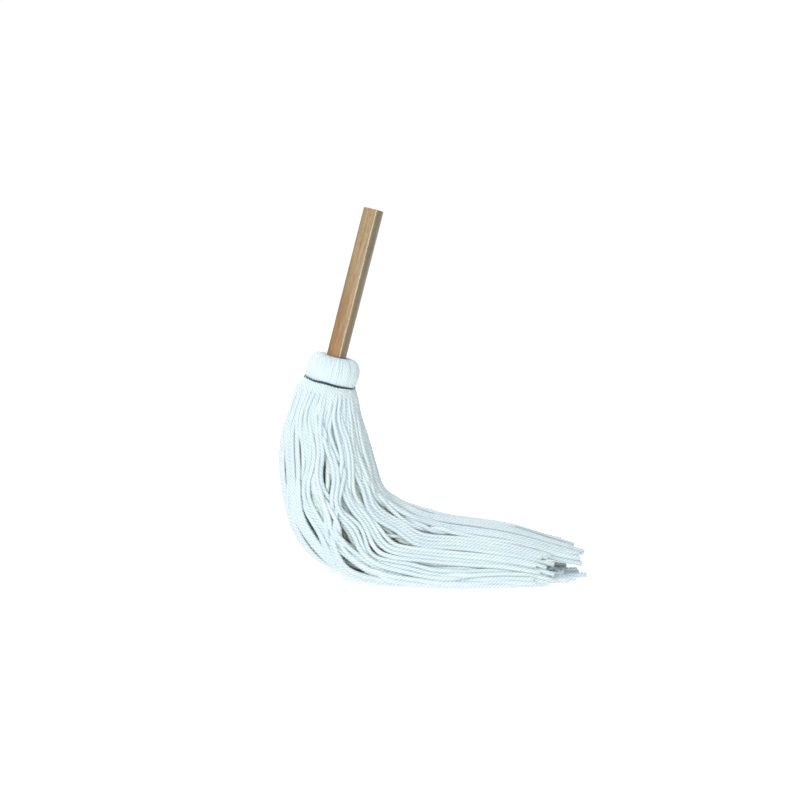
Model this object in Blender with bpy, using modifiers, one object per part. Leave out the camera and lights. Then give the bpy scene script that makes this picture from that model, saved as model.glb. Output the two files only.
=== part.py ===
"""A string mop of the deck-mop kind: yarn tied straight onto a round wooden handle.

Metres, +Z up.  The skirt trails over the floor towards +X, the origin is on the floor under
the middle of the whole mop, and Y runs across it.  The yarn is laid on the handle's end, bound
there with wire and a nail, folded back over that binding into a collar, and tied with a second,
twisted wire.  The head (handle, collar and wires) tilts over the skirt at the neck.
"""

from math import cos, hypot, pi, radians, sin, sqrt, tau

import bmesh
import bpy
from mathutils import Matrix, Vector

# ---------------------------------------------------------------- driving dimensions

HANDLE_DIAMETER = 0.0238
HANDLE_LEAN = radians(14.6)
HANDLE_ABOVE_TIE = 0.211
HANDLE_BELOW_TIE = 0.009
HANDLE_CHAMFER = 0.0008
HANDLE_SIDES = 48

TIE_CENTRE = Vector((-0.1225, 0.0, 0.230))
TIE_RADIUS = 0.0302
TIE_THICKNESS = 0.0032
TIE_TAIL_LENGTH = 0.026

NECK_PIVOT = Vector((-0.1305, 0.0, 0.185))
NECK_RADIUS = 0.026

COLLAR_LOCKS = 12
COLLAR_GAP = radians(2.6)
COLLAR_STEPS = 5
COLLAR_CENTRE = (0.0218, 0.0140)      # radius and height that the fold turns round

BINDING_RADIUS = 0.0198
BINDING_THICKNESS = 0.0015
BINDING_BOTTOM = 0.0030
BINDING_PITCH = 0.0020
BINDING_TURNS = 4.5
POINTS_PER_TURN = 14

NAIL_HEIGHT = -0.0010
NAIL_ANGLE = pi / 2
NAIL_DIAMETER = 0.0016
NAIL_HEAD = 0.0036
NAIL_POINT_AT = 0.0050
NAIL_HEAD_AT = 0.0200

CLEARANCE = 0.0003

# The skirt's own outline, one row for each cross-section from the tie down and along the floor:
# the outer edge's x and z, the inner edge's x and z, the half width across, and how far the
# section's lower side is pressed flat by the floor (0 hangs free, 1 lies flat).
SKIRT_SECTIONS = (
    (-0.1515, 0.2380, -0.0935, 0.2220, 0.030, 0.00),
    (-0.1685, 0.1960, -0.0865, 0.1960, 0.041, 0.00),
    (-0.1800, 0.1535, -0.0775, 0.1535, 0.052, 0.00),
    (-0.1855, 0.1045, -0.0595, 0.1020, 0.065, 0.15),
    (-0.1755, 0.0510, -0.0415, 0.0850, 0.075, 0.50),
    (-0.1365, 0.0060, -0.0145, 0.0740, 0.083, 0.90),
    (-0.0900, 0.0000, 0.0155, 0.0660, 0.088, 1.00),
    (0.0155, 0.0000, 0.0525, 0.0600, 0.091, 1.00),
    (0.0855, 0.0000, 0.1005, 0.0460, 0.088, 1.00),
    (0.1455, 0.0000, 0.1505, 0.0280, 0.083, 1.00),
    (0.1850, 0.0000, 0.1860, 0.0160, 0.076, 1.00),
)

OUTER_LOCKS = 14
OUTER_TOP = 1.40                      # the section where the outer locks begin, below the pivot
OUTER_RING = (0.66, 1.00)             # inner and outer edge, as fractions of the skirt's section
OUTER_ENDS = (8.9, 9.5, 10.0, 9.3, 9.8, 9.0, 8.4, 7.9, 8.4, 9.2, 8.8, 9.9, 9.4, 9.1)

INNER_LOCKS = 8
INNER_TOP = 2.05
INNER_RING = (0.27, 0.61)
INNER_ENDS = (8.8, 8.3, 8.9, 8.1, 7.6, 8.0, 8.6, 8.2)

CORE_EDGE = 0.22
CORE_END = 7.9

LOCK_GAP = 0.0030                     # between neighbouring locks, side by side
LOCK_NARROWEST = 0.5                  # the least of its share of the ring that a lock keeps
LOCK_TIP = 0.45                       # how thin a lock's last section is
SECTION_STEP = 0.5                    # rows of SKIRT_SECTIONS between one of a lock's rings and the next


# ---------------------------------------------------------------- scene, materials and objects

def empty_scene():
    """Remove whatever the scene holds and make the two collections."""
    for thing in list(bpy.data.objects):
        bpy.data.objects.remove(thing, do_unlink=True)
    groups = []
    for name in ("string_mop", "cutters"):
        group = bpy.data.collections.new(name)
        bpy.context.scene.collection.children.link(group)
        groups.append(group)
    return groups


def make_material(name, colour, roughness, metallic=0.0):
    """A plain Principled material."""
    material = bpy.data.materials.new(name)
    material.use_nodes = True
    shader = material.node_tree.nodes["Principled BSDF"]
    shader.inputs["Base Color"].default_value = (*colour, 1.0)
    shader.inputs["Roughness"].default_value = roughness
    shader.inputs["Metallic"].default_value = metallic
    return material


def lacquered_wood():
    return make_material("lacquered_wood", (0.58, 0.36, 0.19), 0.35)


def yarn(name):
    return make_material(name, (0.80, 0.86, 0.88), 0.95)


def dark_wire(name):
    return make_material(name, (0.07, 0.09, 0.10), 0.45, 0.85)


def place(name, data, material, collection, parent=None):
    """A new object on its parent, in its collection, with its material."""
    thing = bpy.data.objects.new(name, data)
    collection.objects.link(thing)
    thing.parent = parent
    data.materials.append(material)
    return thing


def make_empty(name, location, collection, parent=None, lean=0.0):
    thing = bpy.data.objects.new(name, None)
    thing.empty_display_size = 0.02
    thing.location = location
    thing.rotation_euler = (0.0, lean, 0.0)
    thing.parent = parent
    collection.objects.link(thing)
    return thing


def turned_mesh(name, outline):
    """The mesh of a turned profile: (radius, height) points, run down the outer side."""
    mesh = bpy.data.meshes.new(name)
    points = [(radius, 0.0, height) for radius, height in outline]
    edges = [(i, i + 1) for i in range(len(points) - 1)]
    mesh.from_pydata(points, edges, [])
    return mesh


def add_screw(thing, sides):
    screw = thing.modifiers.new("turn", "SCREW")
    screw.steps = sides
    screw.render_steps = sides
    screw.use_merge_vertices = True
    screw.merge_threshold = 0.00001
    screw.use_smooth_shade = True


def round_wire(name, points, thickness, cyclic=False):
    """A wire as a bevelled curve through the points, with filled ends."""
    curve = bpy.data.curves.new(name, "CURVE")
    curve.dimensions = "3D"
    curve.bevel_depth = thickness / 2
    curve.bevel_resolution = 2
    curve.use_fill_caps = True
    spline = curve.splines.new("POLY")
    spline.points.add(len(points) - 1)
    for point, place_at in zip(spline.points, points):
        point.co = (*place_at, 1.0)
    spline.use_cyclic_u = cyclic
    return curve


def subtract(thing, cutter):
    cut = thing.modifiers.new("cut", "BOOLEAN")
    cut.operation = "DIFFERENCE"
    cut.object = cutter


def loft(name, rings):
    """A closed mesh through rings of equally many points, with a face on each end."""
    form = bmesh.new()
    loops = [[form.verts.new(point) for point in ring] for ring in rings]
    for here, there in zip(loops, loops[1:]):
        for i in range(len(here)):
            j = (i + 1) % len(here)
            form.faces.new((here[i], here[j], there[j], there[i]))
    form.faces.new(loops[0])
    form.faces.new(list(reversed(loops[-1])))
    bmesh.ops.recalc_face_normals(form, faces=form.faces)
    mesh = bpy.data.meshes.new(name)
    form.to_mesh(mesh)
    form.free()
    mesh.shade_smooth()
    return mesh


# ---------------------------------------------------------------- handle, wires and nail

def nail_cutter(head, cutters):
    """The hole that the nail fills, with running clearance all round it."""
    form = bmesh.new()
    reach = NAIL_HEAD_AT - NAIL_POINT_AT + 2 * CLEARANCE
    bmesh.ops.create_cone(
        form,
        cap_ends=True,
        segments=16,
        radius1=NAIL_DIAMETER / 2 + CLEARANCE,
        radius2=NAIL_DIAMETER / 2 + CLEARANCE,
        depth=reach,
    )
    mesh = bpy.data.meshes.new("nail_cutter")
    form.to_mesh(mesh)
    form.free()
    cutter = bpy.data.objects.new("nail_cutter", mesh)
    cutters.objects.link(cutter)
    cutter.parent = head
    cutter.hide_render = True
    cutter.display_type = "WIRE"
    middle = (NAIL_HEAD_AT + NAIL_POINT_AT) / 2
    cutter.matrix_local = nail_frame(middle)
    return cutter


def nail_frame(distance):
    """A frame on the nail's line, +Z outwards, at a distance from the handle's axis."""
    outwards = Matrix.Rotation(NAIL_ANGLE, 4, "Z") @ Matrix.Rotation(pi / 2, 4, "Y")
    return Matrix.Translation((0.0, 0.0, NAIL_HEIGHT)) @ outwards @ Matrix.Translation((0.0, 0.0, distance))


def make_handle(head, parts, cutter):
    """The dowel: flat sawn ends with their edges just broken."""
    radius = HANDLE_DIAMETER / 2
    top = HANDLE_ABOVE_TIE
    bottom = -HANDLE_BELOW_TIE
    outline = [
        (0.0, top),
        (radius - HANDLE_CHAMFER, top),
        (radius, top - HANDLE_CHAMFER),
        (radius, bottom + HANDLE_CHAMFER),
        (radius - HANDLE_CHAMFER, bottom),
        (0.0, bottom),
    ]
    handle = place("handle", turned_mesh("handle", outline), lacquered_wood(), parts, head)
    add_screw(handle, HANDLE_SIDES)
    subtract(handle, cutter)


def make_binding_wire(head, parts):
    """The first wire, wound round the yarn where it lies on the handle."""
    count = round(BINDING_TURNS * POINTS_PER_TURN)
    points = []
    for i in range(count + 1):
        turn = i / POINTS_PER_TURN
        angle = NAIL_ANGLE + tau * turn
        height = BINDING_BOTTOM + BINDING_PITCH * turn
        points.append((BINDING_RADIUS * cos(angle), BINDING_RADIUS * sin(angle), height))
    curve = round_wire("binding_wire", points, BINDING_THICKNESS)
    place("binding_wire", curve, dark_wire("binding_wire"), parts, head)


def make_binding_nail(head, parts):
    """A wire nail with a flat head, driven through the inner yarn into the wood."""
    shank = NAIL_DIAMETER / 2
    rim = NAIL_HEAD / 2
    length = NAIL_HEAD_AT - NAIL_POINT_AT
    outline = [
        (0.0, 0.0010),
        (rim * 0.7, 0.0010),
        (rim, 0.0006),
        (rim, 0.0),
        (shank, -0.0002),
        (shank, -length + 0.0022),
        (0.0, -length),
    ]
    nail = place("binding_nail", turned_mesh("binding_nail", outline), dark_wire("binding_nail"), parts, head)
    add_screw(nail, 16)
    nail.matrix_local = nail_frame(NAIL_HEAD_AT + CLEARANCE)


def make_tie_wire(head, parts):
    """The ring of twisted wire that holds the folded yarn."""
    sides = 40
    points = []
    for i in range(sides):
        angle = tau * i / sides
        points.append((TIE_RADIUS * cos(angle), TIE_RADIUS * sin(angle), 0.0))
    curve = round_wire("tie_wire", points, TIE_THICKNESS, cyclic=True)
    place("tie_wire", curve, dark_wire("tie_wire"), parts, head)


def make_tie_wire_tail(head, parts):
    """The pigtail on the far side: the wire's two ends twisted together and bent down the yarn."""
    start = TIE_RADIUS + TIE_THICKNESS + CLEARANCE
    points = []
    steps = 8
    for i in range(steps + 1):
        along = i / steps
        swing = 0.0040 * sin(pi * along)
        down = -TIE_TAIL_LENGTH * along * 0.86
        out = start + 0.0055 * along
        points.append((swing, out, down))
    curve = round_wire("tie_wire_tail", points, TIE_THICKNESS)
    place("tie_wire_tail", curve, dark_wire("tie_wire_tail"), parts, head)


# ---------------------------------------------------------------- collar and neck

def collar_outline():
    """One group of folded yarns in section: (radius, height) round an upside-down U."""
    outer = [(0.0246, -0.0180), (0.0326, -0.0180), (0.0282, -0.0040), (0.0282, 0.0030)]
    turn_radius, turn_height = COLLAR_CENTRE
    over = []
    for degrees in (-12, 12, 40, 68, 96, 130, 165):
        angle = radians(degrees)
        rise = 0.0188 if degrees > 0 else 0.0170
        reach = 0.0100 if degrees < 90 else 0.0090
        over.append((turn_radius + reach * cos(angle), turn_height + rise * sin(angle)))
    inner = [(0.0124, -0.0180), (0.0180, -0.0180), (0.0180, 0.0150), (0.0210, 0.0190), (0.0238, 0.0150)]
    return outer + over + inner


def make_collar(head, parts, cutter):
    """The groups of folded yarn side by side all round the handle's end."""
    outline = collar_outline()
    span = tau / COLLAR_LOCKS - COLLAR_GAP
    for number in range(COLLAR_LOCKS):
        start = NAIL_ANGLE + COLLAR_GAP / 2 + number * tau / COLLAR_LOCKS
        rings = []
        for step in range(COLLAR_STEPS + 1):
            turn = Matrix.Rotation(start + span * step / COLLAR_STEPS, 4, "Z")
            rings.append([turn @ Vector((radius, 0.0, height)) for radius, height in outline])
        name = f"collar_lock_{number + 1:02d}"
        lock = place(name, loft(name, rings), yarn(name), parts, head)
        if number in (0, COLLAR_LOCKS - 1):
            subtract(lock, cutter)


def make_neck(pivot, parts):
    """The packed yarn just under the tie: a ball, so that it fits at every tilt."""
    form = bmesh.new()
    bmesh.ops.create_uvsphere(form, u_segments=24, v_segments=14, radius=NECK_RADIUS)
    mesh = bpy.data.meshes.new("neck_yarn")
    form.to_mesh(mesh)
    form.free()
    mesh.shade_smooth()
    place("neck_yarn", mesh, yarn("neck_yarn"), parts, pivot)


# ---------------------------------------------------------------- skirt

def section_at(position):
    """The skirt's cross-section values at a position along it, on a smooth curve through its rows."""
    last = len(SKIRT_SECTIONS) - 1
    index = min(int(position), last - 1)
    part = position - index
    rows = [SKIRT_SECTIONS[min(max(index + k, 0), last)] for k in (-1, 0, 1, 2)]
    values = []
    for before, here, there, after in zip(*rows):
        slope_here = (there - before) / 2
        slope_there = (after - here) / 2
        rise = there - here
        cubic = slope_here + slope_there - 2 * rise
        square = 3 * rise - 2 * slope_here - slope_there
        values.append(here + part * (slope_here + part * (square + part * cubic)))
    return values


def skirt_point(position, along, across):
    """A point of the skirt: along runs -1 outer edge to 1 inner edge, across runs -1 front to 1 back."""
    outer_x, outer_z, inner_x, inner_z, half_width, flat = section_at(position)
    edge = sqrt(max(0.0, 1.0 - across * across))
    share = (along + 1.0 + flat * (edge - 1.0)) / 2
    x = outer_x + (inner_x - outer_x) * share
    z = max(outer_z, 0.0) + (inner_z - max(outer_z, 0.0)) * share
    return Vector((x, half_width * across, max(z, 0.0)))


def lock_section(position, ring, angles, shrink):
    """One closed outline of a lock, with the gap to its neighbours taken off its sides."""
    outer_x, outer_z, inner_x, inner_z, half_width, _ = section_at(position)
    scale = min(half_width, hypot(inner_x - outer_x, inner_z - outer_z) / 2)
    low, high = ring
    start, stop = angles
    outline = []
    for radius, share in ((low, 1), (low, 0), (low, -1), (None, -1), (high, -1), (high, 0), (high, 1), (None, 1)):
        radius = (low + high) / 2 if radius is None else radius
        half = (stop - start) / 2
        half = max(half - LOCK_GAP / (2 * scale * radius), half * LOCK_NARROWEST)
        angle = (start + stop) / 2 + share * half
        outline.append((radius * cos(angle), radius * sin(angle)))
    centre_along = sum(point[0] for point in outline) / len(outline)
    centre_across = sum(point[1] for point in outline) / len(outline)
    floor_centre = -sqrt(1.0 - centre_across * centre_across)
    toward = centre_along if centre_along > floor_centre / 2 else floor_centre * high
    points = []
    for along, across in outline:
        along = toward + (along - toward) * shrink
        across = centre_across + (across - centre_across) * shrink
        points.append(skirt_point(position, along, across))
    return points


def section_positions(top, end):
    """Where a lock's sections lie: its top, then steps that all the locks share."""
    positions = [top]
    step = SECTION_STEP * (int(top / SECTION_STEP) + 1)
    while step < end - SECTION_STEP / 2:
        positions.append(step)
        step += SECTION_STEP
    return positions


def lock_rings(top, end, ring, angles):
    """A lock's sections from its top to its cut end, which is thinner."""
    positions = section_positions(top, end)
    rings = [lock_section(position, ring, angles, 1.0) for position in positions]
    rings.append(lock_section(end, ring, angles, LOCK_TIP))
    return rings


def make_lock_ring(kind, count, top, ends, ring, parts):
    """A ring of locks side by side round the skirt."""
    for number in range(count):
        angles = (tau * number / count, tau * (number + 1) / count)
        name = f"{kind}_lock_{number + 1:02d}"
        mesh = loft(name, lock_rings(top, ends[number], ring, angles))
        place(name, mesh, yarn(name), parts)


def make_core(parts):
    """The yarn in the middle of the skirt."""
    sides = 8
    rings = []
    stations = [(position, CORE_EDGE) for position in section_positions(INNER_TOP, CORE_END)]
    stations.append((CORE_END, CORE_EDGE * LOCK_TIP))
    for position, radius in stations:
        ring = []
        for k in range(sides):
            angle = tau * k / sides
            ring.append(skirt_point(position, radius * cos(angle), radius * sin(angle)))
        rings.append(ring)
    place("core_lock", loft("core_lock", rings), yarn("core_lock"), parts)


def main():
    parts, cutters = empty_scene()
    pivot = make_empty("neck_pivot", NECK_PIVOT, parts)
    head = make_empty("tie_frame", TIE_CENTRE - NECK_PIVOT, parts, pivot, HANDLE_LEAN)
    cutter = nail_cutter(head, cutters)
    make_handle(head, parts, cutter)
    make_binding_wire(head, parts)
    make_binding_nail(head, parts)
    make_tie_wire(head, parts)
    make_tie_wire_tail(head, parts)
    make_collar(head, parts, cutter)
    make_neck(pivot, parts)
    make_lock_ring("outer", OUTER_LOCKS, OUTER_TOP, OUTER_ENDS, OUTER_RING, parts)
    make_lock_ring("inner", INNER_LOCKS, INNER_TOP, INNER_ENDS, INNER_RING, parts)
    make_core(parts)


main()
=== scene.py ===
from collections import namedtuple
from math import cos, pi, radians, sin, tau

import bpy
import numpy as np
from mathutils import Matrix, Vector
from mathutils.kdtree import KDTree


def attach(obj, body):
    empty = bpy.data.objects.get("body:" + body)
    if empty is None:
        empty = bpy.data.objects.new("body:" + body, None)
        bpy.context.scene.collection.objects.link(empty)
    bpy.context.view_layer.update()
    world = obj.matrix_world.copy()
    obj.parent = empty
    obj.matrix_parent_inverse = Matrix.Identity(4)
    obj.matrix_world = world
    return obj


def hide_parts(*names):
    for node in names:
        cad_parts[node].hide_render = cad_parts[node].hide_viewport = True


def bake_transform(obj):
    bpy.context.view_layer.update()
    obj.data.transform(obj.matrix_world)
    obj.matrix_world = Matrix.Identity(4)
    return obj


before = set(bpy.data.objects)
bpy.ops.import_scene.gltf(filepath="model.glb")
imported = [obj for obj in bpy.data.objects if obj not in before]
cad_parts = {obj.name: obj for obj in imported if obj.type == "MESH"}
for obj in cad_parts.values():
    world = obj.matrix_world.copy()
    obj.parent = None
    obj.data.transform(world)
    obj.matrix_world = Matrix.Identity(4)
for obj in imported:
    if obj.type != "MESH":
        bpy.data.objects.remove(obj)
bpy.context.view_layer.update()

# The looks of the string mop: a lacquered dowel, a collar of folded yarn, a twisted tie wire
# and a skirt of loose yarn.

RANDOM = np.random.default_rng(24)

# ---------------------------------------------------------------- sizes, in metres, as in part.py

HANDLE_RADIUS = 0.0119
HANDLE_LEAN = radians(14.6)
HANDLE_ABOVE_TIE = 0.211
HANDLE_BELOW_TIE = 0.009
HANDLE_CHAMFER = 0.0008
TIE_CENTRE = np.array((-0.1225, 0.0, 0.230))
TIE_RADIUS = 0.0302
TIE_TAIL_LENGTH = 0.026
NECK_LEVEL = 0.185                    # the height of the neck's joints

AXIS_OUT = np.array((cos(HANDLE_LEAN), 0.0, -sin(HANDLE_LEAN)))
AXIS_SIDE = np.array((0.0, 1.0, 0.0))
AXIS_UP = np.array((sin(HANDLE_LEAN), 0.0, cos(HANDLE_LEAN)))

# ---------------------------------------------------------------- sizes of the looks, in metres

CAMERA_PLACE = (-0.0385, -1.35, 0.374)
CAMERA_PITCH = radians(7)
FLOOR_HALF = 6.0
FLOOR_LEVEL = -0.0005

# Each light's name, place, target, size, power and colour, and which surfaces it lights.
LIGHTS = (
    ("key", (-0.8, -1.1, 1.5), (-0.06, 0.0, 0.15), (0.5, 0.5), 2.0, (1.0, 1.0, 1.0), "matt"),
    ("front", (-0.30, -1.6, 0.22), (0.02, 0.0, 0.02), (1.0, 0.4), 9.5, (1.0, 1.0, 1.0), "matt"),
    ("strip", (0.33, -0.60, 0.22), (-0.09, 0.0, 0.30), (0.14, 0.4), 1.8, (1.0, 1.0, 0.80), "gloss"),
)

# The skirt's cross-sections from the tie down and along the floor: outer edge x and z, inner
# edge x and z, half width, and how far the floor presses the section flat (0 free, 1 flat).
SECTIONS = np.array((
    (-0.1532, 0.2378, -0.0921, 0.2222, 0.0306, 0.00),
    (-0.1622, 0.2250, -0.0882, 0.2110, 0.0352, 0.00),
    (-0.1720, 0.2020, -0.0868, 0.1960, 0.0410, 0.00),
    (-0.1810, 0.1700, -0.0785, 0.1700, 0.0480, 0.00),
    (-0.1850, 0.1300, -0.0640, 0.1300, 0.0580, 0.00),
    (-0.1835, 0.0880, -0.0520, 0.1010, 0.0670, 0.00),
    (-0.1730, 0.0530, -0.0360, 0.0870, 0.0750, 0.10),
    (-0.1430, 0.0170, -0.0150, 0.0785, 0.0820, 0.30),
    (-0.0960, 0.0035, 0.0110, 0.0725, 0.0870, 0.70),
    (-0.0300, 0.0000, 0.0370, 0.0680, 0.0890, 1.00),
    (0.0400, 0.0000, 0.0700, 0.0640, 0.0890, 1.00),
    (0.0950, 0.0000, 0.1080, 0.0585, 0.0870, 1.00),
    (0.1450, 0.0000, 0.1500, 0.0480, 0.0830, 1.00),
    (0.1850, 0.0000, 0.1860, 0.0385, 0.0780, 1.00),
))

# Strings: four rings of them round the skirt's middle (how many, how far out).
STRING_RINGS = ((76, 1.00), (64, 0.86), (36, 0.66), (16, 0.36))
OUTER_RINGS = 2                       # of the four, the ones that show
RING_PAINTED_SHADE = (0.0, 0.35, 0.80, 1.0)   # how much painted shade each ring's yarn gets, darker and olive, deep in the skirt
RING_SHORTER = (0.0, 0.010, 0.012, 0.012)   # how much sooner each ring's strings end
RING_CLING = (1.0, 0.55, 0.4, 0.4)    # how strongly each ring's strings cling into locks
STRING_RADIUS = 0.0029
NECK_STRING_RADIUS = 0.0023
NECK_SEEN_RADIUS = 0.0027             # strings squeezed together at the neck are seen overlapping
NECK_STRETCH = 0.075                  # the length over which a string swells to its full thickness
STRING_PITCH = 0.0180                 # the length in which its plies turn once
PLIES = 4
PLY_VALLEY = 0.70                     # how far out the seam between two plies lies
CUT_LENGTH = 0.007                    # the length over which a cut end frays
FRAY = 0.16
POINT_SPACING = 0.005
RING_SPACING = 0.0017
INNER_RING_SPACING = 0.0032
GUIDE_POINTS = 160
OUTER_GROUPS = 7
# the most cords that one scene may declare
DECLARED_STRINGS = 40                 # how many of the longest strings become pieces of their own
DECLARED_IN_GROUP = 8

# Locks: strings that cling together.  Where each lock's cut ends lie along X, going round from
# the inner edge by way of the back.
LOCK_ENDS = (
    0.104, 0.178, 0.158, 0.146, 0.134, 0.140, 0.132, 0.136, 0.142, 0.134,
    0.150, 0.184, 0.166, 0.112, 0.128, 0.142, 0.136, 0.140, 0.184, 0.180,
)
LOCKS = len(LOCK_ENDS)
CLING = 0.30                          # how far a string moves to the middle of its lock
TIP_CLING = 0.25                      # and how much further at the tail's end
LOCK_WAVE, FRONT_WAVE = 0.060, 0.100  # how far a lock waves round the skirt, and how much more in front
STRAY_SHARE = 0.10                    # the share of strings that wave on their own
STRAY_WAVE, OWN_WAVE = 0.12, 0.025
LOCK_HOLLOW = 0.065                   # how far a loose string draws in from the skirt's outline

# The settling of the strings, for each round.
SETTLE_ROUNDS, QUICK_ROUNDS = 110, 12
SEARCH_EVERY = 8                      # rounds between searches for near strings
HELD_POINTS = 3                       # points of each string that stay under the tie
FREE_AFTER = 8.0                      # points over which a string comes free below them
GUIDE_PULL = 0.03                     # the share of the way back to its guide that a point is drawn
SINK_PULL = 0.024                     # how much weaker that is, upwards, along the tail
WEIGHT, TAIL_WEIGHT = 0.00004, 0.00009
TOUCH = 0.90                          # how near two strings lie, as a share of their radii
PUSH = 0.32
MOST_PUSH = 0.0012
STRAIGHTEN = 0.22

COLLAR_STRINGS = 96
COLLAR_HALF_THICK = 0.0022
COLLAR_PITCH = 0.0150
COLLAR_OVERLAP = 1.60                 # how wide each yarn is, against its share of the collar
COLLAR_VALLEY = 0.80

# The way that a folded yarn takes, as radius and height from the tie: up from under the tie and
# over to the wood.
COLLAR_PROFILE = (
    (0.0272, -0.0060), (0.0276, 0.0), (0.0290, 0.0050), (0.0301, 0.0115),
    (0.0299, 0.0180), (0.0282, 0.0240), (0.0250, 0.0283), (0.0212, 0.0300),
    (0.0176, 0.0300), (0.0152, 0.0282), (0.0146, 0.0230), (0.0145, 0.0140),
)

SHADE_SIDE_FROM, SHADE_SIDE_TO = 19.0, 100.0    # degrees round from the front: the strip of painted shade down the dowel's right side
TOP_EDGE = 0.0010                     # the radius of the handle's top edge
WIRE_SIDES = 8

Guide = namedtuple("Guide", "ring angle points")


# ---------------------------------------------------------------- nodes

class Nodes:
    """Adds nodes to a node tree and joins them."""

    def __init__(self, tree):
        self.tree = tree

    def add(self, kind, **settings):
        node = self.tree.nodes.new(kind)
        for key, value in settings.items():
            setattr(node, key, value)
        return node

    def join(self, source, target):
        self.tree.links.new(source, target)

    def give(self, socket, value):
        """Set a socket to a number or a colour, or join it to another socket."""
        if isinstance(value, tuple):
            socket.default_value = (*value, 1.0)
        elif isinstance(value, (int, float)):
            socket.default_value = value
        else:
            self.join(value, socket)

    def math(self, operation, first, second):
        node = self.add("ShaderNodeMath", operation=operation)
        self.give(node.inputs[0], first)
        self.give(node.inputs[1], second)
        return node.outputs[0]

    def mix(self, factor, first, second, blend="MIX"):
        node = self.add("ShaderNodeMix", data_type="RGBA", blend_type=blend)
        self.give(node.inputs[0], factor)
        self.give(node.inputs[6], first)
        self.give(node.inputs[7], second)
        return node.outputs[2]

    def multiplied(self, colour, by):
        return self.mix(1.0, colour, by, "MULTIPLY")

    def noise(self, vector, scale, detail=3.0, rough=0.5):
        node = self.add("ShaderNodeTexNoise")
        node.inputs["Scale"].default_value = scale
        node.inputs["Detail"].default_value = detail
        node.inputs["Roughness"].default_value = rough
        self.join(vector, node.inputs["Vector"])
        return node.outputs["Fac"]

    def stretched(self, vector, scale):
        node = self.add("ShaderNodeMapping")
        node.inputs["Scale"].default_value = scale
        self.join(vector, node.inputs["Vector"])
        return node.outputs["Vector"]

    def ramp(self, value, low, high, start=0.0, stop=1.0):
        """A smooth change from start to stop as a value goes from low to high."""
        node = self.add("ShaderNodeMapRange", interpolation_type="SMOOTHSTEP")
        node.inputs["From Min"].default_value = low
        node.inputs["From Max"].default_value = high
        node.inputs["To Min"].default_value = start
        node.inputs["To Max"].default_value = stop
        self.join(value, node.inputs["Value"])
        return node.outputs["Result"]

    def attribute(self, name):
        return self.add("ShaderNodeAttribute", attribute_name=name).outputs["Fac"]


class Finish(Nodes):
    """A new material, and the nodes that lead to its shader."""

    def __init__(self, name):
        self.material = bpy.data.materials.new(name)
        self.material.use_nodes = True
        super().__init__(self.material.node_tree)
        self.shader = self.tree.nodes["Principled BSDF"]

    def bump(self, height, strength, distance):
        node = self.add("ShaderNodeBump")
        node.inputs["Strength"].default_value = strength
        node.inputs["Distance"].default_value = distance
        self.join(height, node.inputs["Height"])
        self.join(node.outputs["Normal"], self.shader.inputs["Normal"])


# ---------------------------------------------------------------- camera, light and floor

def add_camera():
    data = bpy.data.cameras.new("camera")
    data.sensor_width = 36.0
    data.lens = 51.0
    data.clip_start = 0.01
    data.clip_end = 30.0
    camera = bpy.data.objects.new("camera", data)
    bpy.context.scene.collection.objects.link(camera)
    camera.location = CAMERA_PLACE
    camera.rotation_euler = (pi / 2 - CAMERA_PITCH, 0.0, 0.0)
    bpy.context.scene.camera = camera


def add_area_light(name, place, target, size, power, colour, surfaces):
    data = bpy.data.lights.new(name, "AREA")
    data.shape = "RECTANGLE"
    data.size, data.size_y = size
    data.energy = power
    data.color = colour
    light = bpy.data.objects.new(name, data)
    bpy.context.scene.collection.objects.link(light)
    light.visible_camera = False
    light.visible_glossy = surfaces == "gloss"
    light.visible_diffuse = surfaces == "matt"
    light.location = place
    light.rotation_euler = (Vector(target) - Vector(place)).to_track_quat("-Z", "Y").to_euler()


def light_along(n, towards, span, values):
    """The world's light, changing smoothly along a direction."""
    along = n.add("ShaderNodeVectorMath", operation="DOT_PRODUCT")
    along.inputs[1].default_value = towards
    n.join(n.add("ShaderNodeTexCoord").outputs["Generated"], along.inputs[0])
    return n.ramp(along.outputs["Value"], *span, *values)


def add_world():
    """A white backdrop for the camera, and for the light a sky that is darker on two sides."""
    world = bpy.data.worlds.new("studio")
    world.use_nodes = True
    n = Nodes(world.node_tree)
    sky = light_along(n, (0.0, 0.0, 1.0), (0.0, 0.9), (0.32, 2.10))
    shade = light_along(n, (0.97, -0.25, 0.0), (0.0, 0.65), (1.0, 0.20))
    half_shade = light_along(n, (-1.0, 0.0, 0.0), (0.2, 0.9), (1.0, 0.40))
    lighting = n.tree.nodes["Background"]
    n.join(n.mix(shade, (0.86, 0.97, 1.0), (1.0, 1.0, 1.0)), lighting.inputs["Color"])
    strength = n.math("MULTIPLY", n.math("MULTIPLY", sky, half_shade), shade)
    n.join(strength, lighting.inputs["Strength"])
    backdrop = n.add("ShaderNodeBackground")
    backdrop.inputs["Color"].default_value = (1.0, 1.0, 1.0, 1.0)
    backdrop.inputs["Strength"].default_value = 1.04
    either = n.add("ShaderNodeMixShader")
    n.join(n.add("ShaderNodeLightPath").outputs["Is Camera Ray"], either.inputs["Fac"])
    n.join(lighting.outputs[0], either.inputs[1])
    n.join(backdrop.outputs[0], either.inputs[2])
    n.join(either.outputs[0], n.tree.nodes["World Output"].inputs["Surface"])
    bpy.context.scene.world = world
    bpy.context.scene.view_settings.view_transform = "Standard"


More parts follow.
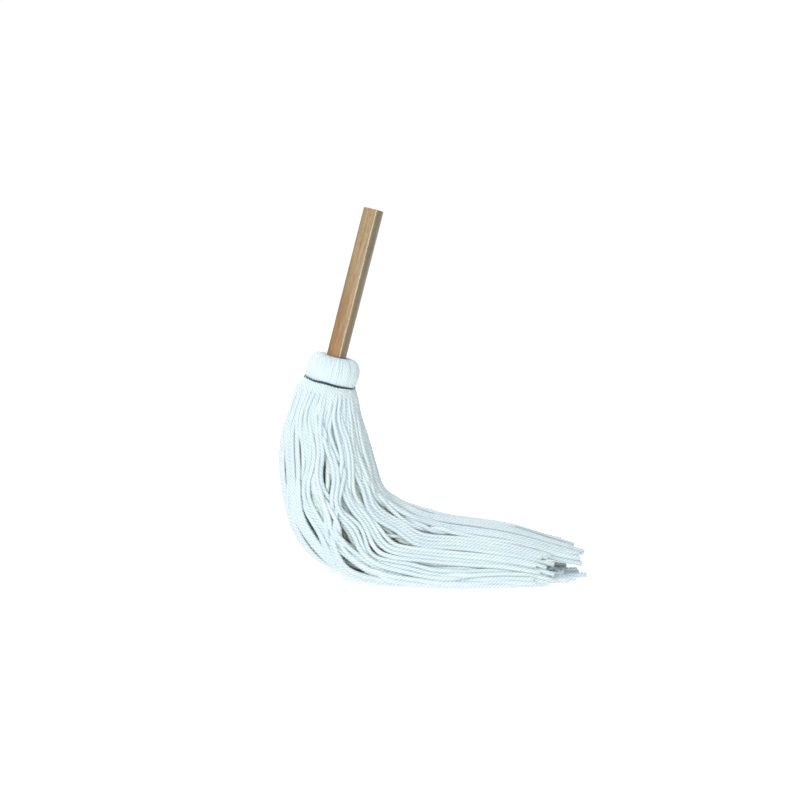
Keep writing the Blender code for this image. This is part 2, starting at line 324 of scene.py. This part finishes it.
def add_floor():
    mesh = bpy.data.meshes.new("floor")
    signs = ((-1, -1), (1, -1), (1, 1), (-1, 1))
    corners = [(FLOOR_HALF * x, FLOOR_HALF * y, FLOOR_LEVEL) for x, y in signs]
    mesh.from_pydata(corners, [], [(0, 1, 2, 3)])
    floor = bpy.data.objects.new("floor", mesh)
    bpy.context.scene.collection.objects.link(floor)
    n = Finish("floor")
    n.shader.inputs["Base Color"].default_value = (0.56, 0.565, 0.57, 1.0)
    n.shader.inputs["Roughness"].default_value = 0.9
    n.shader.inputs["Specular IOR Level"].default_value = 0.1
    n.shader.inputs["Emission Color"].default_value = (1.0, 1.0, 1.0, 1.0)
    n.shader.inputs["Emission Strength"].default_value = 0.62
    mesh.materials.append(n.material)


# ---------------------------------------------------------------- materials

def yarn_material():
    """Matt cotton: spun fibres along each ply, painted shade in the seams between the plies and on the
    strings deep in the skirt, faint cool tint.
    """
    n = Finish("cotton_yarn")
    uv = n.add("ShaderNodeUVMap", uv_map="along").outputs["UV"]
    place = n.add("ShaderNodeNewGeometry").outputs["Position"]
    fibres = n.noise(n.stretched(uv, (900.0, 26.0, 1.0)), 1.0, 4.0, 0.6)
    slub = n.noise(n.stretched(uv, (120.0, 3.0, 1.0)), 1.0, 2.0)
    stain = n.noise(place, 22.0, 3.0)
    seam_shade = n.attribute("seam_shade")
    tone = n.attribute("tone")
    depth = n.attribute("depth")
    light = n.mix(n.ramp(stain, 0.35, 0.7), (0.865, 0.930, 0.985), (0.905, 0.965, 0.965))
    toned = n.mix(tone, n.multiplied(light, (0.88, 0.93, 0.95)), light)
    fibrous = n.mix(n.ramp(fibres, 0.3, 0.75), n.multiplied(toned, (0.90, 0.93, 0.93)), toned)
    # Painted shade: the seams between the plies are darkened to a cool grey.
    seam_shaded = n.mix(n.math("MULTIPLY", seam_shade, 0.80), fibrous, (0.46, 0.58, 0.61))
    # Painted shade: strings of the inner rings, deep in the skirt, are darkened towards olive.
    painted_deep_shade = n.mix(n.math("MULTIPLY", depth, 0.65), seam_shaded, (0.82, 0.86, 0.62))
    n.join(painted_deep_shade, n.shader.inputs["Base Color"])
    n.shader.inputs["Roughness"].default_value = 0.92
    n.shader.inputs["Specular IOR Level"].default_value = 0.15
    n.shader.inputs["Sheen Weight"].default_value = 0.25
    n.shader.inputs["Sheen Roughness"].default_value = 0.45
    n.bump(n.math("ADD", n.math("MULTIPLY", fibres, 0.7), n.math("MULTIPLY", slub, 0.5)), 0.55, 0.0004)
    return n.material


def wood_material():
    """Lacquered dowel: straight grain with darker pores, a warmer stain near the yarn, and a painted
    shade strip down its right side.
    """
    n = Finish("lacquered_wood")
    uv = n.add("ShaderNodeUVMap", uv_map="along").outputs["UV"]
    bands = n.noise(n.stretched(uv, (7.0, 9.0, 1.0)), 1.0, 4.0, 0.55)
    grain = n.noise(n.stretched(uv, (30.0, 60.0, 1.0)), 1.0, 5.0, 0.65)
    pores = n.noise(n.stretched(uv, (110.0, 260.0, 1.0)), 1.0, 2.0)
    end = n.attribute("end")
    low = n.attribute("low")
    base = n.mix(n.ramp(bands, 0.3, 0.7), (0.310, 0.208, 0.106), (0.425, 0.305, 0.168))
    base = n.mix(n.ramp(grain, 0.42, 0.70), base, n.multiplied(base, (0.60, 0.54, 0.46)))
    base = n.mix(n.ramp(pores, 0.56, 0.68), base, n.multiplied(base, (0.48, 0.42, 0.36)))
    base = n.mix(low, base, n.multiplied(base, (1.06, 0.84, 0.66)))
    # Painted shade: a darker olive strip down the side turned away from the light.
    base = n.mix(n.attribute("painted_shade_side"), base, n.multiplied(base, (0.50, 0.56, 0.50)))
    rings = n.noise(n.stretched(uv, (60.0, 3.0, 1.0)), 1.0, 3.0)
    cut = n.mix(n.ramp(rings, 0.35, 0.65), (0.50, 0.34, 0.19), (0.66, 0.50, 0.32))
    n.join(n.mix(end, base, cut), n.shader.inputs["Base Color"])
    n.shader.inputs["Roughness"].default_value = 0.42
    n.shader.inputs["Coat Weight"].default_value = 0.6
    n.shader.inputs["Coat Roughness"].default_value = 0.09
    n.bump(n.math("ADD", grain, n.math("MULTIPLY", pores, -0.6)), 0.25, 0.00025)
    return n.material


def wire_material(name, dark, light, rough):
    """Drawn wire: dull, a little uneven, with brighter worn places."""
    n = Finish(name)
    place = n.add("ShaderNodeNewGeometry").outputs["Position"]
    worn = n.noise(place, 900.0, 3.0)
    patches = n.noise(place, 180.0, 2.0)
    uneven = n.math("ADD", n.math("MULTIPLY", worn, 0.5), n.math("MULTIPLY", patches, 0.5))
    n.join(n.mix(n.ramp(uneven, 0.4, 0.65), dark, light), n.shader.inputs["Base Color"])
    n.shader.inputs["Metallic"].default_value = 0.75
    n.shader.inputs["Roughness"].default_value = rough
    n.bump(worn, 0.3, 0.0001)
    return n.material


# ---------------------------------------------------------------- the skirt's form

def curve_through(rows, index, part):
    """The smooth curve through rows, at part of the way from each indexed row to the next."""
    before = rows[np.maximum(index - 1, 0)]
    here = rows[index]
    there = rows[index + 1]
    after = rows[np.minimum(index + 2, len(rows) - 1)]
    slope_here = (there - before) / 2
    slope_there = (after - here) / 2
    rise = there - here
    cubic = slope_here + slope_there - 2 * rise
    square = 3 * rise - 2 * slope_here - slope_there
    return here + part * (slope_here + part * (square + part * cubic))


def section_at(position):
    """Cross-section values at positions along the skirt, counted in rows of SECTIONS."""
    index = np.minimum(position.astype(int), len(SECTIONS) - 2)
    return curve_through(SECTIONS, index, (position - index)[:, None])


def skirt_points(position, along, across):
    """Points of the skirt: along -1 outer to 1 inner edge, across -1 front to 1 back, both inset."""
    outer_x, outer_z, inner_x, inner_z, half_width, flat = section_at(position).T
    depth = np.hypot(inner_x - outer_x, inner_z - outer_z) / 2
    across = np.clip(across, -1.0, 1.0)
    edge = np.sqrt(1.0 - across * across)
    share = (along + 1.0 + flat * (edge - 1.0)) / 2
    inset = np.minimum(STRING_RADIUS / depth / 2, 0.4)
    share = inset + share * (1 - 2 * inset)
    x = outer_x + (inner_x - outer_x) * share
    z = outer_z + (inner_z - outer_z) * share
    y = (half_width - STRING_RADIUS) * across
    return np.stack((x, y, np.maximum(z, STRING_RADIUS)), axis=1)


def smooth_step(value):
    value = np.clip(value, 0.0, 1.0)
    return value * value * (3 - 2 * value)


def string_guides():
    """Each string's ring, its angle round the skirt, and the way it would take down to its cut end."""
    lock_phase = RANDOM.uniform(0.0, tau, LOCKS)
    lock_wave = RANDOM.uniform(0.5, 1.0, LOCKS)
    lock_lift = RANDOM.uniform(-1.0, 1.0, LOCKS)
    lock_length = RANDOM.uniform(2.1, 3.4, LOCKS)
    position = np.linspace(0.0, len(SECTIONS) - 1.0, GUIDE_POINTS)
    loose = np.clip((position - 0.4) / 2.6, 0.0, 1.0)
    lying = smooth_step((position - 4.5) / 2.5)
    calm = smooth_step((position - 7.5) / 3.5)
    tips = smooth_step((position - 10.0) / 2.0)
    guides = []
    for ring, (count, radius) in enumerate(STRING_RINGS):
        offset = 0.5 * (ring % 2)
        for number in range(count):
            angle = tau * (number + offset + RANDOM.uniform(-0.22, 0.22)) / count
            sector = int(angle / tau * LOCKS + offset)
            lock = sector % LOCKS
            centre = tau * (sector + 0.5 - offset) / LOCKS
            front = max(0.0, -sin(centre))
            under = max(0.0, -cos(centre))
            own_phase = RANDOM.uniform(0.0, tau)
            stray = STRAY_WAVE if RANDOM.uniform() < STRAY_SHARE else OWN_WAVE
            own_wave = np.sin(own_phase + tau * position / RANDOM.uniform(2.0, 3.4))
            cling = CLING * loose * (1 - 0.6 * calm) * (1 - lying * (0.6 * under + 0.15 * front))
            cling = (cling + TIP_CLING * tips) * RING_CLING[ring]
            wave = lock_wave[lock] * np.sin(lock_phase[lock] + tau * position / lock_length[lock])
            sway = (LOCK_WAVE + FRONT_WAVE * front) * (1 - 0.35 * lying) * wave + stray * own_wave
            fan = angle + (centre - angle) * cling
            fan = fan + loose * (1 - 0.8 * calm) * sway / max(radius, 0.5)
            lift = lock_lift[lock] * np.sin(lock_phase[lock] * 2 + tau * position / 4.5)
            reach = radius * (1 - LOCK_HOLLOW * loose * (1 + lift))
            points = skirt_points(position, reach * np.cos(fan), reach * np.sin(fan))
            end = LOCK_ENDS[lock] - RING_SHORTER[ring] + RANDOM.uniform(-0.014, 0.006)
            guides.append(Guide(ring, angle, cut_to_end(points, end)))
    return guides


def arc_lengths(points):
    steps = np.linalg.norm(np.diff(points, axis=0), axis=1)
    return np.concatenate(((0.0,), np.cumsum(steps)))


def evenly_spaced(points, spacing):
    """Points along a path, one every spacing, from its start."""
    travelled = arc_lengths(points)
    lengths = np.arange(int(travelled[-1] / spacing) + 1) * spacing
    return np.stack([np.interp(lengths, travelled, points[:, k]) for k in range(3)], axis=1)


def cut_to_end(points, end):
    """The points up to the first one past an end along X, or all of them."""
    past = np.nonzero(points[:, 0] > end)[0]
    return points[:past[0] + 1] if len(past) else points


def string_radius(lengths):
    swell = smooth_step(lengths / NECK_STRETCH)
    return NECK_STRING_RADIUS + (STRING_RADIUS - NECK_STRING_RADIUS) * swell


def near_pairs(points, reach, owner):
    """Pairs of points of different strings that are within reach of each other."""
    tree = KDTree(len(points))
    for index, point in enumerate(points):
        tree.insert(point, index)
    tree.balance()
    first, second = [], []
    for index, point in enumerate(points):
        for _, other, _ in tree.find_range(point, reach):
            if other > index and owner[other] != owner[index]:
                first.append(index)
                second.append(other)
    return np.array(first, int), np.array(second, int)


def settle(paths, rounds):
    """Let the strings push each other apart and lie on the floor, keeping their lengths."""
    counts = [len(path) for path in paths]
    starts = np.concatenate(((0,), np.cumsum(counts)))
    points = np.concatenate(paths)
    guide = points.copy()
    owner = np.repeat(np.arange(len(paths)), counts)
    place = np.arange(len(points)) - starts[owner]
    radius = string_radius(place * POINT_SPACING)
    held = place < HELD_POINTS
    free = np.clip((place - HELD_POINTS + 1) / FREE_AFTER, 0.0, 1.0)[:, None]
    sink = smooth_step((guide[:, 0] - 0.02) / 0.14)
    sideways = np.full(len(points), GUIDE_PULL)
    pull = np.column_stack((sideways, sideways, GUIDE_PULL - SINK_PULL * sink))
    weight = WEIGHT + TAIL_WEIGHT * sink
    links = np.nonzero(owner[:-1] == owner[1:])[0]
    inner = np.nonzero(owner[:-2] == owner[2:])[0] + 1
    for step in range(rounds):
        if step % SEARCH_EVERY == 0:
            first, second = near_pairs(points, 2.6 * STRING_RADIUS, owner)
        points += pull * free * (guide - points)
        points[:, 2] -= weight * free[:, 0]
        gap = points[second] - points[first]
        distance = np.maximum(np.linalg.norm(gap, axis=1), 1e-6)
        overlap = np.maximum(TOUCH * (radius[first] + radius[second]) - distance, 0.0)
        push = (gap / distance[:, None]) * (PUSH * overlap)[:, None]
        move = np.zeros_like(points)
        np.add.at(move, first, -push)
        np.add.at(move, second, push)
        points += np.clip(move, -MOST_PUSH, MOST_PUSH) * free
        middle = (points[inner - 1] + points[inner + 1]) / 2
        points[inner] += STRAIGHTEN * free[inner] * (middle - points[inner])
        for parity in (0, 1):
            some = links[(place[links] % 2) == parity]
            span = points[some + 1] - points[some]
            length = np.maximum(np.linalg.norm(span, axis=1), 1e-6)
            fix = span * ((length - POINT_SPACING) / length / 2)[:, None]
            points[some] += fix * free[some]
            points[some + 1] -= fix * free[some + 1]
        points[:, 2] = np.maximum(points[:, 2], radius)
        points[held] = guide[held]
    return [points[a:b] for a, b in zip(starts, starts[1:])]


def smooth_path(points, spacing):
    """A finer path on the smooth curve through points."""
    travelled = arc_lengths(points)
    count = int(round(travelled[-1] / spacing))
    lengths = np.linspace(0.0, travelled[-1], count + 1)
    index = np.clip(np.searchsorted(travelled, lengths, side="right") - 1, 0, len(points) - 2)
    part = (lengths - travelled[index]) / (travelled[index + 1] - travelled[index])
    return curve_through(points, index, part[:, None])


# ---------------------------------------------------------------- meshes from tubes

class Tubes:
    """Collects closed tubes and makes them one mesh, with what the materials read."""

    def __init__(self):
        self.points, self.faces, self.normals = [], [], []
        self.marks = {"seam_shade": [], "tone": [], "depth": []}
        self.total = 0

    def add(self, rings, normals, lengths, seam_shade, tone, depth):
        """rings is (n, m, 3), with a normal for each point; the first and last ring are closed."""
        n, m, _ = rings.shape
        base = self.total
        smooth = normals.reshape(-1, 3)
        caps = np.stack((rings[0].mean(axis=0), rings[-1].mean(axis=0)))
        self.points.append(np.concatenate((rings.reshape(-1, 3), caps)))
        row = np.arange(n - 1)[:, None] * m
        column = np.arange(m)[None, :]
        following = (column + 1) % m
        a = (row + column).ravel()
        b = (row + following).ravel()
        quads = np.stack((a, b, b + m, a + m), axis=1)
        self.normals.append(smooth[quads.ravel()])
        u = np.repeat(lengths[:-1], m)
        u_next = np.repeat(lengths[1:], m)
        v = np.tile(np.arange(m) / m, n - 1)
        v_next = np.tile((np.arange(m) + 1) / m, n - 1)
        self.faces.append((quads + base, np.stack((u, v, u, v_next, u_next, v_next, u_next, v), axis=1)))
        k = np.arange(m)
        k_next = (k + 1) % m
        start = np.stack((k_next, k, np.full(m, n * m)), axis=1)
        stop = np.stack(((n - 1) * m + k, (n - 1) * m + k_next, np.full(m, n * m + 1)), axis=1)
        flat = np.zeros((m, 6))
        self.faces.append((start + base, flat + lengths[0]))
        self.faces.append((stop + base, flat + lengths[-1]))
        way_in = caps[0] - rings[1].mean(axis=0)
        way_out = caps[1] - rings[-2].mean(axis=0)
        for way in (way_in, way_out):
            self.normals.append(np.tile(way / np.linalg.norm(way), (3 * m, 1)))
        self.marks["seam_shade"].append(np.concatenate((seam_shade.ravel(), (0.5, 0.5))))
        size = n * m + 2
        self.marks["tone"].append(np.full(size, tone))
        painted_deep_shade = np.broadcast_to(np.asarray(depth, float), (n,))
        self.marks["depth"].append(np.concatenate((np.repeat(painted_deep_shade, m), (painted_deep_shade[0], painted_deep_shade[-1]))))
        self.total += size

    def mesh(self, name):
        points = np.concatenate(self.points).astype(np.float32)
        mesh = bpy.data.meshes.new(name)
        mesh.vertices.add(len(points))
        mesh.vertices.foreach_set("co", points.ravel())
        corners = np.concatenate([faces.ravel() for faces, _ in self.faces]).astype(np.int32)
        sizes = np.concatenate([np.full(len(faces), faces.shape[1]) for faces, _ in self.faces])
        uvs = np.concatenate([uv.ravel() for _, uv in self.faces]).astype(np.float32)
        mesh.loops.add(len(corners))
        mesh.loops.foreach_set("vertex_index", corners)
        mesh.polygons.add(len(sizes))
        loop_starts = np.concatenate(((0,), np.cumsum(sizes)[:-1])).astype(np.int32)
        mesh.polygons.foreach_set("loop_start", loop_starts)
        layer = mesh.uv_layers.new(name="along")
        layer.data.foreach_set("uv", uvs)
        for mark, values in self.marks.items():
            attribute = mesh.attributes.new(mark, "FLOAT", "POINT")
            attribute.data.foreach_set("value", np.concatenate(values).astype(np.float32))
        mesh.update(calc_edges=True)
        mesh.validate()
        mesh.polygons.foreach_set("use_smooth", sizes == 4)
        mesh.normals_split_custom_set(np.concatenate(self.normals))
        return mesh


def add_piece(name, mesh, material):
    piece = bpy.data.objects.new(name, mesh)
    bpy.context.scene.collection.objects.link(piece)
    mesh.materials.append(material)
    return piece


def ring_normals(rings):
    """Unit normals of a tube at its rings' points, from the points on every side."""
    around = np.roll(rings, -1, axis=1) - np.roll(rings, 1, axis=1)
    normals = np.cross(around, np.gradient(rings, axis=0))
    return normals / np.maximum(np.linalg.norm(normals, axis=2, keepdims=True), 1e-12)


def frames_along(path, side):
    """Unit vectors across a path, the first as near to side as it can be."""
    tangent = np.gradient(path, axis=0)
    tangent /= np.linalg.norm(tangent, axis=1, keepdims=True)
    side = np.broadcast_to(side, path.shape)
    first = side - tangent * (tangent * side).sum(axis=1, keepdims=True)
    first /= np.linalg.norm(first, axis=1, keepdims=True)
    return first, np.cross(tangent, first)


def rings_round(path, first, second, along_first, along_second):
    """Rings of points round a path, each so far from it along two vectors across it."""
    return path[:, None, :] + (
        along_first[..., None] * first[:, None, :] + along_second[..., None] * second[:, None, :])


def lobes(plies, valley):
    """How far out the points round a plied yarn lie: each ply's back, and the seam after it."""
    return np.tile((1.0, valley), plies)[None, :]


def corners_round(sides):
    return tau * np.arange(sides)[None, :] / sides


def yarn_rings(path, lengths, radius, twist):
    """Rings of a plied yarn along a path, its plies twisting round each other and frayed at the end."""
    first, second = frames_along(path, AXIS_SIDE)
    lobe = lobes(PLIES, PLY_VALLEY)
    cut = 1 - np.clip((lengths[-1] - lengths) / CUT_LENGTH, 0.0, 1.0)[:, None]
    frayed = 1 + FRAY * cut * np.where(lobe == 1.0, 1.0, -1.2)
    thickness = radius[:, None] * lobe * frayed
    angle = corners_round(2 * PLIES) + (twist - tau * lengths / STRING_PITCH)[:, None]
    rings = rings_round(path, first, second, thickness * np.cos(angle), thickness * np.sin(angle))
    # Where the painted shade of the seams goes: 1 between two plies, 0 on their backs.
    seam_shade = np.broadcast_to(np.where(lobe == 1.0, 0.0, 1.0), thickness.shape)
    return rings, seam_shade


# ---------------------------------------------------------------- the pieces of yarn

def outer_group(angle):
    return int(angle / tau * OUTER_GROUPS) % OUTER_GROUPS


def longest_strings(guides, paths):
    """The longest strings of the outer rings, with no more than DECLARED_IN_GROUP from a group."""
    outer = [index for index, guide in enumerate(guides) if guide.ring < OUTER_RINGS]
    chosen = []
    taken = [0] * OUTER_GROUPS
    for index in sorted(outer, key=lambda index: -len(paths[index])):
        group = outer_group(guides[index].angle)
        if taken[group] < DECLARED_IN_GROUP and len(chosen) < DECLARED_STRINGS:
            taken[group] += 1
            chosen.append(index)
    return set(chosen)


def add_yarn(name, tubes, yarn):
    """A piece of yarn below the neck."""
    piece = add_piece(name, tubes.mesh(name), yarn)
    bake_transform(piece)
    return piece


def make_strings(yarn):
    guides = string_guides()
    paths = [evenly_spaced(guide.points, POINT_SPACING) for guide in guides]
    paths = settle(paths, SETTLE_ROUNDS)
    declared = longest_strings(guides, paths)
    upper = Tubes()
    groups = {}
    cords = 0
    for index, (guide, path) in enumerate(zip(guides, paths)):
        outer = guide.ring < OUTER_RINGS
        fine = smooth_path(path, RING_SPACING if outer else INNER_RING_SPACING)
        lengths = arc_lengths(fine)
        radius = np.maximum(string_radius(lengths), NECK_SEEN_RADIUS) * RANDOM.uniform(0.98, 1.12)
        rings, seam_shade = yarn_rings(fine, lengths, radius, RANDOM.uniform(0.0, tau))
        normals = ring_normals(rings)
        tone = RANDOM.uniform(0.0, 1.0)
        # Painted shade on the inner rings, fading out along the tail.
        depth = RING_PAINTED_SHADE[guide.ring] * (1 - smooth_step((fine[:, 0] + 0.02) / 0.08))
        split = int(np.nonzero(fine[:, 2] < NECK_LEVEL)[0][0])
        if index in declared:
            lower = Tubes()
        else:
            key = ("outer", outer_group(guide.angle)) if outer else ("inner", guide.ring)
            lower = groups.setdefault(key, Tubes())
        for tubes, part in ((upper, slice(0, split + 1)), (lower, slice(split, None))):
            tubes.add(rings[part], normals[part], lengths[part], seam_shade[part], tone, depth[part])
        if index in declared:
            cords += 1
            piece = add_yarn(f"string_{cords:02d}", lower, yarn)
    for (kind, number), bundle in groups.items():
        piece = add_yarn(f"{kind}_strings_{number + 1}", bundle, yarn)
        if kind == "outer":
            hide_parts(f"outer_lock_{2 * number + 1:02d}", f"outer_lock_{2 * number + 2:02d}")
        elif number == OUTER_RINGS:
            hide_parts(*[f"inner_lock_{k:02d}" for k in range(1, 9)])
        else:
            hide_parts("core_lock")
    top = add_piece("string_tops", upper.mesh("string_tops"), yarn)
    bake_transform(top)
    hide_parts("neck_yarn")


def out_from_axis(angle):
    """Unit vectors out from the handle's axis."""
    return np.cos(angle)[..., None] * AXIS_OUT + np.sin(angle)[..., None] * AXIS_SIDE


def tie_frame(radius, angle, height):
    """Points given round the handle's axis, with height along it from the tie."""
    radius, angle, height = np.broadcast_arrays(radius, angle, height)
    return TIE_CENTRE + radius[..., None] * out_from_axis(angle) + height[..., None] * AXIS_UP


def flat_path(keys):
    """Pairs of numbers as points in the plane z = 0."""
    return np.column_stack((keys, np.zeros(len(keys))))


def make_collar(yarn):
    """The yarns folded over the handle's end, pressed flat against each other."""
    tubes = Tubes()
    profile = smooth_path(flat_path(COLLAR_PROFILE), 0.0015)
    t = np.linspace(0.0, 1.0, len(profile))
    lobe = lobes(PLIES, COLLAR_VALLEY)
    # Painted shade in the collar's seams between the plies.
    seam_shade = np.broadcast_to(np.where(lobe == 1.0, 0.0, 0.8), (len(t), 2 * PLIES))
    for number in range(COLLAR_STRINGS):
        middle = tau * (number + RANDOM.uniform(-0.14, 0.14)) / COLLAR_STRINGS
        sway = RANDOM.uniform(-0.3, 0.3) / COLLAR_STRINGS
        lift = RANDOM.uniform(-0.0004, 0.0004)
        angle = middle + tau * sway * np.sin(pi * t * 1.3) * 0.6
        radius = profile[:, 0] + lift * np.sin(pi * t)
        height = profile[:, 1] + lift * np.sin(pi * t)
        path = tie_frame(radius, angle, height)
        lengths = arc_lengths(path)
        around = out_from_axis(angle + pi / 2)
        tangent = np.gradient(path, axis=0)
        tangent /= np.linalg.norm(tangent, axis=1, keepdims=True)
        outward = np.cross(tangent, around)
        half_width = COLLAR_OVERLAP * pi * radius / COLLAR_STRINGS
        turned = (RANDOM.uniform(0.0, tau) - tau * lengths / COLLAR_PITCH)[:, None]
        corner = corners_round(2 * PLIES) + turned
        wide = half_width[:, None] * lobe * np.cos(corner)
        thick = COLLAR_HALF_THICK * lobe * np.sin(corner)
        rings = rings_round(path, around, outward, wide, thick)
        tubes.add(rings, ring_normals(rings), lengths, seam_shade, RANDOM.uniform(0.0, 1.0), 0.0)
    piece = add_piece("folded_yarn", tubes.mesh("folded_yarn"), yarn)
    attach(piece, "head")
    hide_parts(*[f"collar_lock_{k:02d}" for k in range(1, 13)])


# ---------------------------------------------------------------- wires and handle

def twisted_pair(path, around, outward, strand, offset, pitch):
    """Two wires of radius strand, twisted together along a path at an offset from it."""
    tubes = Tubes()
    lengths = arc_lengths(path)
    corner = corners_round(WIRE_SIDES)
    for phase in (0.0, pi):
        turn = phase + tau * lengths / pitch
        line = path + offset * (np.cos(turn)[:, None] * around + np.sin(turn)[:, None] * outward)
        first, second = frames_along(line, around)
        rings = rings_round(line, first, second, strand * np.cos(corner), strand * np.sin(corner))
        tubes.add(rings, ring_normals(rings), lengths, np.zeros((len(path), WIRE_SIDES)), 0.5, 0.0)
    return tubes


def make_tie(dark):
    """The tie wire round the yarn, and its two ends twisted together behind."""
    turn = np.linspace(-0.02, tau + 0.02, 260) + pi / 2
    wobble = 0.0004 * np.sin(3 * turn) + 0.0003 * np.sin(7 * turn + 1)
    path = tie_frame(TIE_RADIUS, turn, wobble)
    tubes = twisted_pair(path, AXIS_UP, out_from_axis(turn), 0.00088, 0.00080, 0.0080)
    ring = add_piece("twisted_tie", tubes.mesh("twisted_tie"), dark)
    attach(ring, "head")
    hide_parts("tie_wire")

    along = np.linspace(0.0, 1.0, 70)[:, None]
    swing = 0.0040 * np.sin(pi * along)
    out = TIE_RADIUS + 0.0035 + 0.0055 * along
    down = -TIE_TAIL_LENGTH * along * 0.86
    path = TIE_CENTRE + swing * AXIS_OUT + out * AXIS_SIDE + down * AXIS_UP
    tubes = twisted_pair(path, AXIS_OUT, AXIS_SIDE, 0.00078, 0.00082, 0.0065)
    tail = add_piece("tie_pigtail", tubes.mesh("tie_pigtail"), dark)
    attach(tail, "head")
    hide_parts("tie_wire_tail")


def make_handle(wood):
    """The dowel, turned with softly broken edges and a sawn end."""
    bottom = -HANDLE_BELOW_TIE
    shoulder = HANDLE_ABOVE_TIE - TOP_EDGE
    keys = [(0.0004, bottom), (HANDLE_RADIUS - HANDLE_CHAMFER, bottom)]
    for height in np.linspace(bottom + HANDLE_CHAMFER, shoulder, 60):
        keys.append((HANDLE_RADIUS, height))
    for degrees in (22, 45, 68, 90):
        angle = radians(degrees)
        keys.append((HANDLE_RADIUS - TOP_EDGE + TOP_EDGE * cos(angle), shoulder + TOP_EDGE * sin(angle)))
    for share in (0.75, 0.5, 0.25, 0.05):
        keys.append((HANDLE_RADIUS * share, HANDLE_ABOVE_TIE))
    keys = np.array(keys)
    turn = -corners_round(96)
    uneven = 1 + 0.004 * np.sin(3 * turn) * np.sin(keys[:, 1] * 40)[:, None]
    rings = tie_frame(keys[:, :1] * uneven, turn, keys[:, 1:])
    lengths = arc_lengths(flat_path(keys))
    tubes = Tubes()
    tubes.add(rings, ring_normals(rings), lengths, np.zeros(uneven.shape), 0.5, 0.0)
    mesh = tubes.mesh("dowel")
    from_tie = np.concatenate(tubes.points) - TIE_CENTRE
    height = from_tie @ AXIS_UP
    bearing = np.degrees(np.arctan2(from_tie @ AXIS_OUT, -(from_tie @ AXIS_SIDE)))
    marks = {
        "end": height > HANDLE_ABOVE_TIE - 0.0002,
        "low": np.clip(1 - (height - 0.03) / 0.09, 0.0, 1.0),
        # painted shade: the strip down the dowel's right side
        "painted_shade_side": smooth_step((bearing - SHADE_SIDE_FROM) / 4) * (1 - smooth_step((bearing - SHADE_SIDE_TO) / 14)),
    }
    for mark, values in marks.items():
        attribute = mesh.attributes.new(mark, "FLOAT", "POINT")
        attribute.data.foreach_set("value", values.astype(np.float32))
    handle = add_piece("dowel", mesh, wood)
    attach(handle, "head")
    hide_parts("handle")


def main():
    add_camera()
    for light in LIGHTS:
        add_area_light(*light)
    add_world()
    add_floor()
    yarn = yarn_material()
    dark = wire_material("dark_wire", (0.016, 0.036, 0.050), (0.085, 0.13, 0.155), 0.5)
    bright = wire_material("nail_steel", (0.30, 0.31, 0.33), (0.45, 0.46, 0.48), 0.35)
    make_strings(yarn)
    make_collar(yarn)
    make_tie(dark)
    make_handle(wood_material())
    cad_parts["binding_wire"].material_slots[0].material = dark
    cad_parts["binding_nail"].material_slots[0].material = bright


main()
